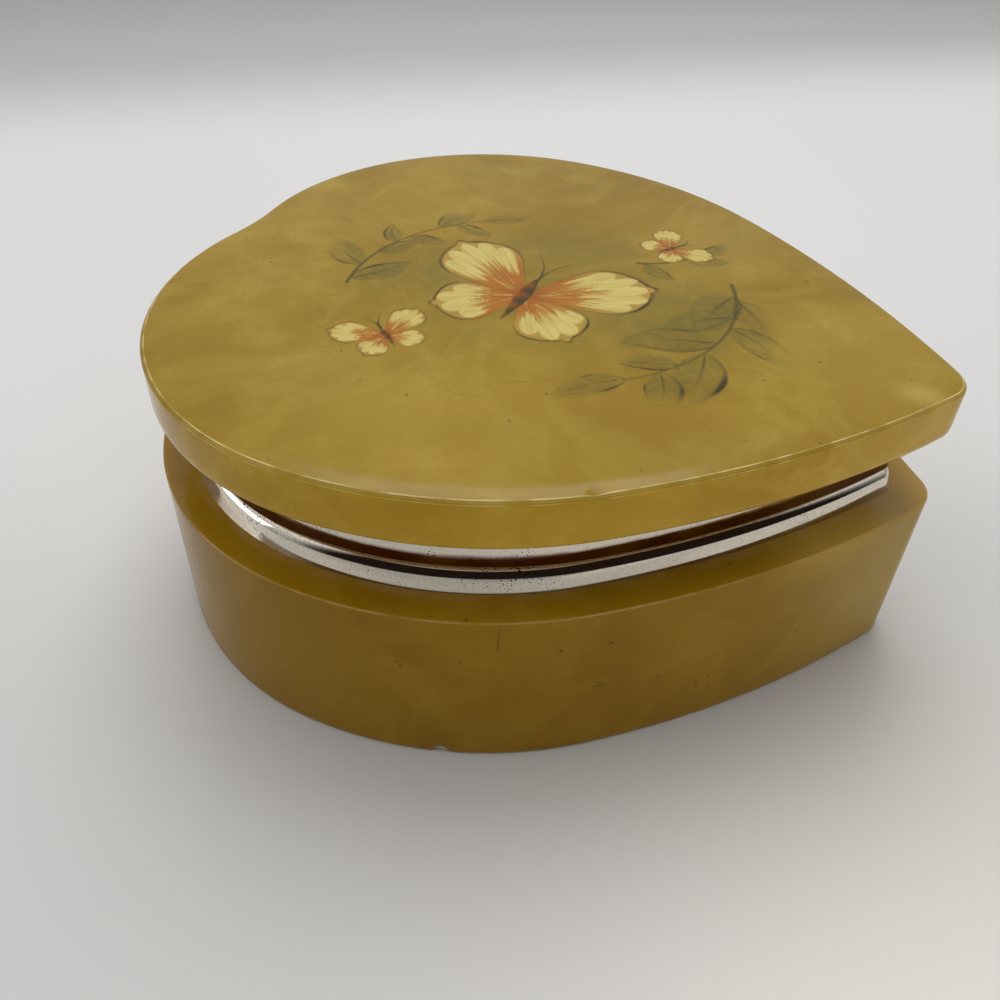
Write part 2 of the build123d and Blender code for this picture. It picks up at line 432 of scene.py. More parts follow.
def alabaster(name, light, middle, dark, edge, painted_glow_tint, rough, gloss, marks):
    """Polished honey alabaster: cloudy patches, soft veins, a fine grain and dark specks.

    Where its "glow" attribute is 1, its colour is multiplied by painted_glow_tint, a painted light that
    stands for light through the stone, and its gloss is the second of the two. Where its "cover" attribute is
    over 0, the colour in its "paint" attribute lies on it, and where its "wear" is over 0, it turns to its
    edge colour, a painted highlight on edges and a painted reflection of the band on the ledge. Its roughness
    lies between the two of
    rough. Each of marks is a soft patch: (centre, size, stretch, colour, amount).
    """
    s = Shader(name)
    place = s.place()
    clouds = s.noise(place, 26, detail=3, rough=0.5, distortion=0.6)
    patches = s.noise(place, 9, detail=4, rough=0.55, distortion=0.4)
    grain = s.noise(place, 0.8, detail=3, rough=0.65)
    fine = s.noise(place, 0.26, detail=2, rough=0.7)
    color = s.mix(s.ramp(clouds, 0.32, 0.68), dark, middle)
    color = s.mix(s.ramp(patches, 0.45, 0.8, 0.0, 0.7), color, light)
    vein = s.noise(place, 30, detail=4, rough=0.5, distortion=1.2)
    ridge = s.math("ABSOLUTE", s.math("SUBTRACT", vein, 0.5))
    color = s.mix(s.ramp(ridge, 0.0, 0.05, 0.3, 0.0), color, light)
    color = s.mix(s.ramp(grain, 0.35, 0.7, 0.0, 0.3), color, dark)
    color = s.mix(s.ramp(fine, 0.55, 0.8, 0.0, 0.35), color, dark)
    for centre, size, stretch, patch, amount in marks:
        mask = s.math("MULTIPLY", s.near(place, centre, size, stretch), amount)
        color = s.mix(mask, color, patch)
    speck_size = s.ramp(s.noise(place, 5.5, detail=1), 0.4, 0.75, 0.0, 0.12)
    speck = s.math("GREATER_THAN", speck_size, s.scatter(place, 0.42))
    color = s.mix(s.math("MULTIPLY", speck, 0.5), color, SPECK)
    color = s.mix(s.attribute("cover").outputs["Fac"], color, s.attribute("paint").outputs["Color"])
    wear_and_painted_light = s.attribute("wear_and_painted_light").outputs["Fac"]
    # Painted highlight and painted reflection: the colour turns to the edge colour where the wear value is
    # over 0
    painted_highlight_and_reflection = s.math("MULTIPLY", wear_and_painted_light, s.ramp(s.noise(place, 3.2, detail=3), 0.35, 0.65, 0.2, 1.0))
    color = s.mix(painted_highlight_and_reflection, color, edge)
    # Painted light: where the glow value is 1, the colour is brightened, standing for light through the stone
    painted_glow = s.attribute("painted_glow").outputs["Fac"]
    color = s.mix(painted_glow, color, s.mix(1.0, color, painted_glow_tint, "MULTIPLY"))
    dull = s.ramp(s.noise(place, 14, detail=3), 0.3, 0.7, *rough)
    s.set(Base_Color=color, Roughness=dull, IOR=1.52, Specular_IOR_Level=s.ramp(painted_glow, 0, 1, *gloss))
    s.bump(s.math("ADD", s.math("MULTIPLY", grain, 0.35), s.noise(place, 6, detail=2)), 0.08, 0.2)
    return s.material


def band_plating():
    """Bright plating, with ripples from the press, pits where it has worn through, and painted reflections by
    the seam.

    By the seam lies a painted gold reflection of the lid stone's underside, and over it, on the lid band, a
    red-brown painted dark reflection of the shaded ledge.
    """
    s = Shader("band_plating")
    place = s.place()
    ripple = s.noise(place, 11, detail=2)
    bunch = s.noise(place, 8, detail=3)
    pits = s.math("GREATER_THAN", s.ramp(bunch, 0.56, 0.8, 0.0, 0.24), s.scatter(place, 0.8))
    dots = s.math("GREATER_THAN", s.ramp(bunch, 0.5, 0.72, 0.04, 0.34), s.scatter(place, 2.6))
    pitted = s.math("MAXIMUM", pits, dots)
    level = s.node("ShaderNodeSeparateXYZ", Vector=place).outputs["Z"]
    level_wobble = s.math("MULTIPLY", s.math("SUBTRACT", s.noise(place, 4, detail=3), 0.5), 0.7)
    wobbly_level = s.math("ADD", level, level_wobble)
    # Painted gold reflection of the lid stone's underside, along the seam
    gold_reflection_from = s.ramp(wobbly_level, SEAM - 0.3, SEAM + 0.1, 0.0, 0.7)
    gold_reflection_to = s.ramp(wobbly_level, SEAM + 1.2, SEAM + 0.9)
    color = s.mix(s.math("MULTIPLY", gold_reflection_from, gold_reflection_to), PLATING, PAINTED_GOLD_REFLECTION)
    # Painted dark reflection of the shaded ledge, on the lid band just above the seam
    dark_reflection_from = s.ramp(level, SEAM + 0.5, SEAM + 0.7)
    dark_reflection_to = s.ramp(wobbly_level, SEAM + 2.55, SEAM + 1.9)
    uneven = s.ramp(s.noise(place, 7, detail=3), 0.3, 0.6, 0.8, 0.95)
    dark_reflection = s.math("MULTIPLY", s.math("MULTIPLY", dark_reflection_from, dark_reflection_to), uneven)
    color = s.mix(dark_reflection, color, PAINTED_DARK_REFLECTION)
    fine = s.ramp(s.noise(place, 0.3, detail=2, rough=0.7), 0.4, 0.75, 0.0, 0.35)
    color = s.mix(fine, color, DULL_PLATING)
    dull = s.math("ADD", s.ramp(bunch, 0.35, 0.75, 0.04, 0.1), s.math("MULTIPLY", pitted, 0.4))
    s.set(Base_Color=s.mix(pitted, color, PIT), Roughness=dull, Metallic=1.0)
    s.bump(s.math("SUBTRACT", ripple, s.math("MULTIPLY", pitted, 0.3)), 0.05, 0.3)
    return s.material


def hinge_plating():
    """The same plating on the hinge, a little duller and without pits."""
    s = Shader("hinge_plating")
    place = s.place()
    ripple = s.noise(place, 11, detail=2)
    dull = s.ramp(s.noise(place, 8, detail=3), 0.35, 0.75, 0.1, 0.2)
    color = s.mix(s.ramp(ripple, 0.4, 0.8, 0.0, 0.2), HINGE_PLATING, DULL_PLATING)
    s.set(Base_Color=color, Roughness=dull, Metallic=1.0)
    s.bump(ripple, 0.05, 0.3)
    return s.material


def cement():
    """Set plaster inside the bands."""
    s = Shader("band_cement")
    grain = s.noise(s.place(), 0.9, detail=4, rough=0.7)
    color = s.mix(s.ramp(grain, 0.3, 0.7), linear(196, 190, 176), linear(224, 220, 208))
    s.set(Base_Color=color, Roughness=0.9)
    s.bump(grain, 0.3, 0.2)
    return s.material


base_stone_material = alabaster(
    "base_alabaster",
    light=linear(160, 122, 26),
    middle=linear(150, 113, 11),
    dark=linear(138, 101, 3),
    # painted highlight on the base's rounded edges, and a painted reflection of the band on the ledge
    edge=linear(172, 144, 74),
    painted_glow_tint=(1.34, 1.38, 2.5, 1),
    rough=(0.14, 0.24),
    gloss=(0.1, 0.28),
    marks=[
        # A hairline, two dark pits and two brown scuffs on the front of the wall
        ((-42.9, -10.0, 22.0), 0.2, (0.3, 1, 0.06), linear(62, 40, 6), 0.5),
        ((-39.3, -16.3, 19.6), 0.42, (1, 1, 1.6), linear(44, 22, 4), 1.0),
        ((-35.8, -21.1, 19.6), 0.42, (1, 1, 1.6), linear(44, 22, 4), 1.0),
        ((-36.2, -20.6, 11.8), 0.6, (0.4, 0.4, 2), linear(78, 54, 8), 0.8),
        ((-27.2, -31.0, 7.0), 0.5, (1, 1, 1), linear(84, 60, 10), 0.8),
        # The raw stone in the chip at the foot
        ((-45.4, -3.9, 0.4), 1.1, (1, 1, 1), linear(226, 218, 196), 0.95),
        # Painted light: the wall around the tip and the ledge beside it are made paler, as if more light fell
        # there
        ((-4.5, -49.5, 15.0), 26.0, (1, 1, 0.8), linear(178, 147, 62), 0.6),
        ((-13.0, -39.5, 25.5), 13.0, (1, 1, 1.6), linear(190, 158, 50), 0.5),
    ],
)
lid_stone_material = alabaster(
    "lid_alabaster",
    light=linear(174, 147, 60),
    middle=linear(159, 129, 37),
    dark=linear(143, 113, 24),
    # painted highlight lines along the lid's bevel
    edge=linear(226, 204, 140),
    painted_glow_tint=(1.5, 1.43, 1.08, 1),
    rough=(0.12, 0.22),
    gloss=(0.17, 0.12),
    marks=[
        # Paler stone at the tip and on the left lobe, and a darker cloud between them
        ((-4.8, -47.1, 42.6), 3.4, (1, 0.7, 1), linear(200, 174, 96), 0.42),
        ((-33.0, 10.0, 42.6), 15.0, (1, 0.6, 1), linear(172, 144, 60), 0.45),
        ((-24.0, -20.0, 42.6), 12.0, (1, 0.7, 1), linear(142, 112, 30), 0.4),
        # Paler stone on the right of the face, and on the left side wall
        ((24.0, -16.0, 42.6), 13.0, (0.7, 1, 1), linear(172, 146, 66), 0.4),
        ((-33.9, -22.7, 37.0), 15.0, (1, 1, 1.6), linear(180, 150, 58), 0.3),
    ],
)
band_material = band_plating()
hinge_material = hinge_plating()
cement_material = cement()

# Base stone: from the middle of its underside out, up the wall, over the ledge and lip, and into the hollow
base_lip_out = BASE_RIM_TOP_INSET + SHEET + LIP_GAP
lip_in = MOUTH_INSET - SHEET - LIP_GAP
base_rows = rounded(
    [
        (UNDERSIDE_FAN[0], 0.0, UNDERSIDE_FAN[1], 0),
        (FOOT_INSET, 0.0, BASE_REACH, 0),
        # The wear values set nicks, and painted highlight on the rounded edges
        (SKIN, 0.0, BASE_REACH, 0.5, FOOT_ROUND),
        (SKIN, BASE_TOP, BASE_REACH, 0.85, LEDGE_ROUND),
        # Painted reflection of the band on the ledge, from here to the band
        (BAND_REFLECTION_INSET - 0.1, BASE_TOP, BAND_REFLECTION_REACH, 0),
        (BAND_REFLECTION_INSET, BASE_TOP, BAND_REFLECTION_REACH, 0.22),
        (BASE_RIM_INSET, BASE_TOP, BASE_RIM_REACH, 0.3),
        (base_lip_out, BASE_TOP, BASE_CHANNEL_REACH + LIP_GAP, 0),
        (base_lip_out, BASE_LIP_TOP, BASE_CHANNEL_REACH + LIP_GAP, 0),
        (lip_in, BASE_LIP_TOP, CHANNEL_BACK_REACH - LIP_GAP, 0),
        (lip_in, BASE_TOP, CHANNEL_BACK_REACH - LIP_GAP, 0),
        (HOLLOW_INSET, BASE_TOP, HOLLOW_REACH, 0),
        (HOLLOW_INSET, HOLLOW_FLOOR, HOLLOW_REACH, 0, HOLLOW_ROUND),
        (HOLLOW_FAN[0], HOLLOW_FLOOR, HOLLOW_FAN[1], 0),
    ],
    steps=6,
)
base_stone = sweep("base_stone", refined(base_rows, STONE_STEP), start_fan=10, end_fan=12)
worn(base_stone, [BASE_CHIP], nick=0.08, seed=3)
base_stone.data.materials.append(base_stone_material)
# Painted light: the top of the ledge, which the lid shades, is made brighter
store_painted_glow(base_stone, lambda place, normal: (place.z > BASE_TOP - PAINTED_GLOW_DEPTH) * normal.z)
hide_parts("base_bowl")
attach(base_stone, "base")

# Lid stone: from the middle of the dish out, down into the band, up the side, and over the bevel and the top
lid_face = LID_TOP - PAINT_DEPTH
lid_lip_out = LID_RIM_INSET + SHEET + LIP_GAP
lid_rows = rounded(
    [
        (DISH_FAN[0], DISH_TOP, DISH_FAN[1], 0),
        (HOLLOW_INSET, DISH_TOP, HOLLOW_REACH, 0, DISH_ROUND),
        (HOLLOW_INSET, LID_BOTTOM, HOLLOW_REACH, 0),
        (lip_in, LID_BOTTOM, CHANNEL_BACK_REACH - LIP_GAP, 0),
        (lip_in, LID_LIP_FOOT, CHANNEL_BACK_REACH - LIP_GAP, 0),
        (lid_lip_out, LID_LIP_FOOT, LID_CHANNEL_REACH + LIP_GAP, 0),
        (lid_lip_out, LID_BOTTOM, LID_CHANNEL_REACH + LIP_GAP, 0),
        (LID_RIM_INSET, LID_BOTTOM, LID_RIM_REACH, 0),
        (LID_INSET, LID_BOTTOM, LID_REACH, 0, LID_UNDERSIDE_ROUND),
        # The wear values on the bevel set nicks, and painted highlight lines
        (LID_INSET + BEVEL_LOW[0], lid_face - BEVEL_LOW[1], LID_REACH, 0.4, 0.2),
        (LID_INSET + BEVEL_MIDDLE[0], lid_face - BEVEL_MIDDLE[1], LID_REACH, 0.2),
        (LID_INSET + BEVEL_HIGH[0], lid_face - BEVEL_HIGH[1], LID_REACH, 0.9, 0.4),
        (LID_INSET + FACE_EDGE, lid_face, LID_REACH + 1, 0),
        (LID_FAN[0], lid_face, LID_FAN[1], 0),
    ],
    steps=6,
)
lid_stone = sweep("lid_stone", refined(lid_rows, STONE_STEP), start_fan=10, end_fan=40)
worn(lid_stone, [LID_CHIP], nick=0.05, seed=5)
lid_stone.data.materials.append(lid_stone_material)
# Painted light: the lid is made brighter where it faces sideways or down, and not on its face
store_painted_glow(lid_stone, lambda place, normal: 1.6 - 2.2 * normal.z)
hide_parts("lid_slab")
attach(lid_stone, "lid")

# Base band: a leaning wall, a rounded shoulder, the flat sealing face and the mouth, with its channel below
base_channel_out = BASE_RIM_TOP_INSET + SHEET
base_band_rows = rounded(
    [
        (BASE_RIM_INSET, BASE_TOP, BASE_RIM_REACH, 0),
        (BASE_RIM_TOP_INSET, SEAM, BASE_RIM_REACH, 1, SHOULDER_ROUND),
        (MOUTH_INSET, SEAM, MOUTH_REACH, 1, MOUTH_ROUND),
        (MOUTH_INSET, BASE_TOP, MOUTH_REACH, 0),
        (MOUTH_INSET - SHEET, BASE_TOP, CHANNEL_BACK_REACH, 0),
        (MOUTH_INSET - SHEET, SEAM - SHEET, CHANNEL_BACK_REACH, 0),
        (base_channel_out, SEAM - SHEET, BASE_CHANNEL_REACH, 0),
        (base_channel_out, BASE_TOP, BASE_CHANNEL_REACH, 0),
    ],
    steps=12,
)
base_band = sweep("base_band", refined(base_band_rows, BAND_STEP))
base_band.data.materials.append(band_material)
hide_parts("base_rim")
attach(base_band, "base")

# Lid band: an almost upright wall with a small rounded edge at the seam
lid_band_rows = rounded(
    [
        (MOUTH_INSET - SHEET, LID_BOTTOM, CHANNEL_BACK_REACH, 0),
        (MOUTH_INSET, LID_BOTTOM, MOUTH_REACH, 0),
        (MOUTH_INSET, LID_RIM_FOOT, MOUTH_REACH, 1, MOUTH_ROUND),
        (LID_RIM_INSET, LID_RIM_FOOT, LID_RIM_REACH, 1, SEAM_ROUND),
        (LID_RIM_INSET + LID_BAND_TAPER, LID_BOTTOM, LID_RIM_REACH, 0),
        (LID_RIM_INSET + SHEET, LID_BOTTOM, LID_CHANNEL_REACH, 0),
        (LID_RIM_INSET + SHEET, LID_RIM_FOOT + SHEET, LID_CHANNEL_REACH, 0),
        (MOUTH_INSET - SHEET, LID_RIM_FOOT + SHEET, CHANNEL_BACK_REACH, 0),
    ],
    steps=8,
)
lid_band = sweep("lid_band", refined(lid_band_rows, BAND_STEP))
lid_band.data.materials.append(band_material)
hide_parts("lid_rim")
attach(lid_band, "lid")

# What stays of the construction, with its own materials
for node_name, material in (
    ("base_rim_cement", cement_material),
    ("lid_rim_cement", cement_material),
    ("hinge_base_knuckles", hinge_material),
    ("hinge_lid_knuckles", hinge_material),
    ("hinge_pin", hinge_material),
):
    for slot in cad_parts[node_name].material_slots:
        slot.material = material

# Direction of the main view, in degrees
VIEW_AZIMUTH = -66.88
VIEW_ELEVATION = 35.07

# Painting on the lid, laid out along u, to the right in the main view, and v, away from the camera
u_axis = Vector((math.cos(math.radians(VIEW_AZIMUTH)), math.sin(math.radians(VIEW_AZIMUTH))))
v_axis = Vector((-u_axis.y, u_axis.x))
PAINTING_MIDDLE = Vector((-1.5, 2.7))
PAINTING_SIZE = (62.0, 52.0)
PAINT_STEPS = (0.16, 0.24)  # between points of the sheet, along u and v
PAINT_LIFT = 0.015  # the sheet lies this far over the lid's face
PAINT_FADE = 3.0  # the paint fades out over this distance from the sheet's rim
LEAST_COVER = 0.003  # where the paint is thinner, the sheet has no faces
LINE_POINTS = 22

CREAM = linear(208, 190, 112)
CREAM_SHADE = linear(190, 168, 88)
TAN = linear(184, 148, 66)
RUST = linear(174, 106, 30)
RUST_DARK = linear(146, 78, 12)
OLIVE = linear(116, 104, 34)
OLIVE_DARK = linear(58, 50, 18)
OLIVE_HAZE = linear(130, 116, 40)


def mottle(x, y, seed):
    """Smooth noise from 0 to 1 over two coordinates."""
    left, low = np.floor(x), np.floor(y)

    def corner(i, j):
        return np.modf(np.abs(np.sin(i * 127.1 + j * 311.7 + seed * 74.7) * 43758.5453))[0]

    a, b = x - left, y - low
    a, b = a * a * (3 - 2 * a), b * b * (3 - 2 * b)
    bottom = corner(left, low) * (1 - a) + corner(left + 1, low) * a
    top = corner(left, low + 1) * (1 - a) + corner(left + 1, low + 1) * a
    return bottom * (1 - b) + top * b


def between(a, b, t):
    """Colours between two colours, for an array of amounts."""
    t = np.clip(t, 0, 1)[..., None]
    return np.asarray(a)[..., :3] * (1 - t) + np.asarray(b)[..., :3] * t


def bow(start, angle, length, bend):
    """Points along a line that leaves start at about this angle and turns by bend degrees."""
    turns = np.radians(angle + bend * (np.linspace(0, 1, LINE_POINTS - 1) - 0.3))
    steps = np.column_stack((np.cos(turns), np.sin(turns))) * length / (LINE_POINTS - 1)
    return np.vstack((start, np.array(start) + np.cumsum(steps, axis=0)))


class Canvas:
    """A thin sheet over the lid's face that takes paint: a colour, and how thickly it covers the stone."""

    def __init__(self, size, steps):
        self.across, self.along = (
            np.linspace(-side / 2, side / 2, round(side / step) + 1) for side, step in zip(size, steps)
        )
        self.u, self.v = np.meshgrid(self.across, self.along)
        self.color = np.zeros(self.u.shape + (3,))
        self.cover = np.zeros(self.u.shape)

    def lay(self, window, color, thickness):
        """Lays paint over what is there already."""
        under = self.cover[window] * (1 - thickness)
        total = under + thickness
        share = (thickness / np.maximum(total, 1e-6))[..., None]
        self.color[window] = color * share + self.color[window] * (1 - share)
        self.cover[window] = total

    def window(self, low, high):
        """The part of the sheet between two corners."""
        columns = np.searchsorted(self.across, (low[0], high[0]))
        rows = np.searchsorted(self.along, (low[1], high[1]))
        return slice(rows[0], rows[1]), slice(columns[0], columns[1])

    def stroke(self, line, half_width, color, thickness, soft=0.25):
        """One stroke along a line.

        Its half width is a function of s, which runs from 0 to 1 along it. Its colour and thickness are
        functions of s and of t, which runs from -1 to 1 across it.
        """
        room = half_width(np.linspace(0, 1, 20)).max() + soft
        window = self.window(line.min(axis=0) - room, line.max(axis=0) + room)
        here = np.stack((self.u[window], self.v[window]), axis=-1)
        parts = np.diff(line, axis=0)
        from_start = here[..., None, :] - line[:-1]
        reach = np.clip((from_start * parts).sum(-1) / (parts**2).sum(-1), 0, 1)
        gap = from_start - reach[..., None] * parts
        distance = np.hypot(gap[..., 0], gap[..., 1])
        nearest = distance.argmin(axis=-1)[..., None]
        turned = parts[..., 0] * gap[..., 1] - parts[..., 1] * gap[..., 0]
        side = np.sign(np.take_along_axis(turned, nearest, -1)[..., 0])
        away = np.take_along_axis(distance, nearest, -1)[..., 0]
        s = (nearest[..., 0] + np.take_along_axis(reach, nearest, -1)[..., 0]) / len(parts)
        width = np.maximum(half_width(s), 0.02)
        t = np.clip(side * away / width, -1.5, 1.5)
        edge = np.clip((width - away) / soft + 0.5, 0, 1)
        self.lay(window, color(s, t), edge * edge * (3 - 2 * edge) * np.clip(thickness(s, t), 0, 1))

    def wash(self, centre, size, turn, color, thickness, seed):
        """A soft cloud of thin paint."""
        reach = max(size) * 1.4
        window = self.window((centre[0] - reach, centre[1] - reach), (centre[0] + reach, centre[1] + reach))
        a = math.radians(turn)
        u, v = self.u[window] - centre[0], self.v[window] - centre[1]
        x = (u * math.cos(a) + v * math.sin(a)) / size[0]
        y = (v * math.cos(a) - u * math.sin(a)) / size[1]
        broad = 0.5 * (mottle(u * 0.35, v * 0.35, seed) - 0.5)
        ragged = 0.25 * (mottle(u * 1.1, v * 1.1, seed) - 0.5)
        fade = np.clip(1.1 - np.hypot(x, y) + broad + ragged, 0, 1)
        self.lay(window, np.broadcast_to(color[:3], u.shape + (3,)), thickness * fade * fade * (3 - 2 * fade))

    def piece(self, name, z):
        """The sheet as an object."""
        rim = np.minimum(self.across[-1] - np.abs(self.u), self.along[-1] - np.abs(self.v))
        cover = self.cover * np.clip(rim / PAINT_FADE, 0, 1)
        middle, u, v = PAINTING_MIDDLE, self.u.ravel(), self.v.ravel()
        x = middle.x + u_axis.x * u + v_axis.x * v
        y = middle.y + u_axis.y * u + v_axis.y * v
        verts = np.column_stack((x, y, np.full(x.shape, z))) * MM
        rows, columns = self.u.shape
        corner = (np.arange(rows - 1)[:, None] * columns + np.arange(columns - 1)).ravel()
        faces = np.column_stack((corner, corner + 1, corner + columns + 1, corner + columns))
        faces = faces[cover.ravel()[faces].max(axis=1) > LEAST_COVER]
        used, faces = np.unique(faces, return_inverse=True)
        mesh = bpy.data.meshes.new(name)
        mesh.from_pydata(verts[used].tolist(), [], faces.reshape(-1, 4).tolist())
        mesh.shade_smooth()
        paint = np.column_stack((self.color.reshape(-1, 3), np.ones(len(verts))))[used]
        mesh.attributes.new("paint", "FLOAT_COLOR", "POINT").data.foreach_set("color", paint.ravel())
        mesh.attributes.new("cover", "FLOAT", "POINT").data.foreach_set("value", cover.ravel()[used])
        return added(name, mesh)


def plain(amount):
    """The same thickness all over a stroke."""
    return lambda s, t: np.full(s.shape, amount)


def dab(canvas, start, angle, length, width, bend, seed):
    """A cream brush mark, full and round at its far end and streaky where it starts."""

    def half_width(s):
        round_end = np.sqrt(1 - np.clip((s - 0.72) / 0.28, 0, 0.999) ** 2)
        return width / 2 * (0.45 + 0.55 * s**0.6) * round_end + 0.02

    def color(s, t):
        return between(CREAM, CREAM_SHADE, 1.3 * mottle(t * 3.5 + 9, s * 2.5 + 9, seed) - 0.3)

    def thickness(s, t):
        comb = mottle(t * 5 + 30, s * 0.8 + 5, seed + 7)
        dry = np.clip(mottle(t * 8, s * 3, seed + 4) - 0.7, 0, 1)
        return np.clip((s - 0.55 * comb) / 0.12, 0, 1) * (0.97 - 0.5 * dry)

    canvas.stroke(bow(start, angle, length, bend), half_width, color, thickness, soft=0.18)


def hair(canvas, start, angle, length, bend, width, color, thickness):
    """A fine line that thins out towards its end."""
    ends = (lambda s: width / 2 * (1.15 - s), lambda s, t: between(color, color, s), plain(thickness))
    canvas.stroke(bow(start, angle, length, bend), *ends, soft=0.16)


def wing(canvas, root, angle, length, breadth, dabs, seed):
    """One wing: a dark margin, tan inside it that deepens to rust at the root, and a fan of cream dabs."""
    dice = random.Random(seed)

    def shape(size):
        return lambda s: size * (0.04 + 0.96 * np.sin(np.pi * np.clip(s, 0, 1) ** 1.7)) ** 0.62

    def margin(s, t):
        return between(OLIVE_DARK, RUST_DARK, 0.7 * mottle(t * 4 + 8, s * 6 + 2, seed + 9) - 0.2)

    def fill(s, t):
        ragged = 0.7 * (mottle(t * 5 + 20, s * 1.2, seed + 3) - 0.5)
        return between(between(RUST_DARK, RUST, s * 4), TAN, (s - 0.32 + 0.5 * ragged) * 3)

    canvas.stroke(
        bow(root, angle, length, 0),
        shape(breadth / 2),
        margin,
        lambda s, t: np.clip(s * 3, 0, 0.8) * (0.35 + 0.9 * mottle(s * 6, t * 2 + 9, seed + 6)),
        soft=0.35,
    )
    canvas.stroke(
        bow(root, angle, length * 0.965, 0),
        shape(breadth / 2 - 0.02 * length),
        fill,
        lambda s, t: 0.93 - 0.35 * mottle(s * 3, t * 3, seed + 2) * s,
        soft=0.4,
    )
    fan = math.degrees(math.atan2(breadth, length * 0.8))
    for i in range(dabs):
        turn = i / (dabs - 1) - 0.5
        reach = length * (0.97 - 0.62 * turn * turn) * dice.uniform(0.97, 1.0)
        inner = length * dice.uniform(0.26, 0.38)
        toward = angle + fan * 0.95 * turn
        a = math.radians(toward)
        start = (root[0] + inner * math.cos(a), root[1] + inner * math.sin(a))
        width = 1.15 * breadth / dabs * dice.uniform(0.85, 1.05)
        dab(canvas, start, toward, reach - inner, width, -8 * turn, seed * 3.1 + i * 1.7)
    for i in range(dabs * 2):
        toward = angle + fan * dice.uniform(-0.4, 0.4)
        a, inner = math.radians(toward), length * dice.uniform(0.12, 0.3)
        start = (root[0] + inner * math.cos(a), root[1] + inner * math.sin(a))
        shade = CREAM_SHADE if i % 2 else RUST_DARK
        hair(canvas, start, toward, length * dice.uniform(0.2, 0.34), 0, 0.2, shade, 0.6)


def butterfly(canvas, place, heading, size, seed):
    """A butterfly seen from above: four wings, a body and two feelers."""
    for side in (-1, 1):
        wing(canvas, place, heading + 128 * side, 11.5 * size, 9.6 * size, 4, seed + side)
    for side in (-1, 1):
        wing(canvas, place, heading + 56 * side, 17.0 * size, 11.5 * size, 5, seed + 5 + side)
    a = math.radians(heading)
    ahead = Vector((math.cos(a), math.sin(a)))
    canvas.stroke(
        bow(Vector(place) - ahead * 6.4 * size, heading, 11.0 * size, 6),
        lambda s: size * (0.15 + 0.8 * np.sin(np.pi * np.clip(s, 0, 1) ** 1.4) ** 0.8),
        lambda s, t: between(OLIVE_DARK, RUST_DARK, 0.3 + 0.4 * t + 0.3 * np.sin(24 * s)),
        plain(0.93),
        soft=0.25,
    )
    head = Vector(place) + ahead * 4.4 * size
    for side in (-1, 1):
        hair(canvas, head, heading + 14 * side, 8.0 * size, 44 * side, 0.34, OLIVE_DARK, 0.85)


def leaf(canvas, start, angle, length, width, bend, seed):
    """A leaf: a thin uneven fill, a broken outline that is heavier on one side, a rib, and veins."""

    def line(t, at, size):
        return np.exp(-(((t - at) / size) ** 2))

    def half_width(s):
        return width / 2 * np.sin(np.pi * np.clip(s, 0, 1) ** 0.8) ** 0.85 + 0.04

    def drawn(s, t):
        heavy = line(t, 0.9, 0.14 + 0.16 * s) * (0.45 + 0.8 * mottle(s * 4, t * 0 + 3, seed + 1))
        light = line(t, -0.92, 0.09) * np.clip(1.6 * mottle(s * 5, t * 0 + 8, seed + 5) - 0.5, 0, 1)
        rib = line(t, 0, 0.1) * (1.1 - s)
        veins = 0.4 * line(np.mod(s * 5 - np.abs(t) * 1.2, 1.0), 0.5, 0.12) * (np.abs(t) < 0.8) * (s < 0.85)
        return np.clip(np.maximum.reduce((heavy, light, rib, veins)), 0, 1)

    def color(s, t):
        return between(OLIVE, OLIVE_DARK, drawn(s, t) + 0.3 * mottle(t * 3 + 4, s * 3 + 4, seed) - 0.1)

    def thickness(s, t):
        return np.maximum(0.25 + 0.5 * mottle(t * 2 + 7, s * 3 + 7, seed + 2), 0.95 * drawn(s, t))

    canvas.stroke(bow(start, angle, length, bend), half_width, color, thickness, soft=0.3)


def sprig(canvas, start, angle, length, bend, leaves, leaf_length, seed):
    """A stalk with leaves of mixed sizes on both sides, and one at its end."""
    dice = random.Random(seed)
    line = bow(start, angle, length, bend)
    for i in range(leaves):
        k = int((0.1 + 0.82 * (i + dice.uniform(-0.25, 0.25)) / max(1, leaves - 1)) * (len(line) - 2))
        k = min(len(line) - 2, max(0, k))
        facing = math.degrees(math.atan2(line[k + 1][1] - line[k][1], line[k + 1][0] - line[k][0]))
        side = 1 if i % 2 else -1
        size = leaf_length * dice.uniform(0.6, 1.15)
        turn = facing + side * dice.uniform(25, 65)
        leaf(canvas, tuple(line[k]), turn, size, size * dice.uniform(0.4, 0.55), -side * 28, seed * 7 + i)
    last = math.degrees(math.atan2(line[-1][1] - line[-2][1], line[-1][0] - line[-2][0]))
    leaf(canvas, tuple(line[-1]), last, leaf_length * 0.9, leaf_length * 0.34, 24, seed * 7 + 90)
    stalk = (lambda s: 0.3 - 0.2 * s, lambda s, t: between(OLIVE_DARK, OLIVE, 0.2 + 0.3 * s), plain(0.8))
    canvas.stroke(line, *stalk, soft=0.2)


canvas = Canvas(PAINTING_SIZE, PAINT_STEPS)
canvas.wash((2, 0), (29, 21), 8, OLIVE_HAZE, 0.5, 5)
canvas.wash((17, -7), (14, 11), -20, OLIVE, 0.55, 8)
canvas.wash((-17, 5), (12, 9), 30, OLIVE, 0.42, 12)
canvas.wash((5, 15), (15, 8), 10, OLIVE, 0.35, 17)
sprig(canvas, (-26.5, 1.0), 62, 30, -66, 7, 10.0, 21)
sprig(canvas, (27.5, 3.0), 248, 32, -72, 8, 11.0, 24)
sprig(canvas, (15.0, 9.0), 8, 10, 40, 3, 8.0, 29)
butterfly(canvas, (-2.0, -1.5), 64, 1.08, 31)
butterfly(canvas, (-19.5, -12.5), 118, 0.44, 43)
butterfly(canvas, (20.5, 14.0), 30, 0.4, 57)
painting = canvas.piece("lid_painting", lid_face + PAINT_LIFT)
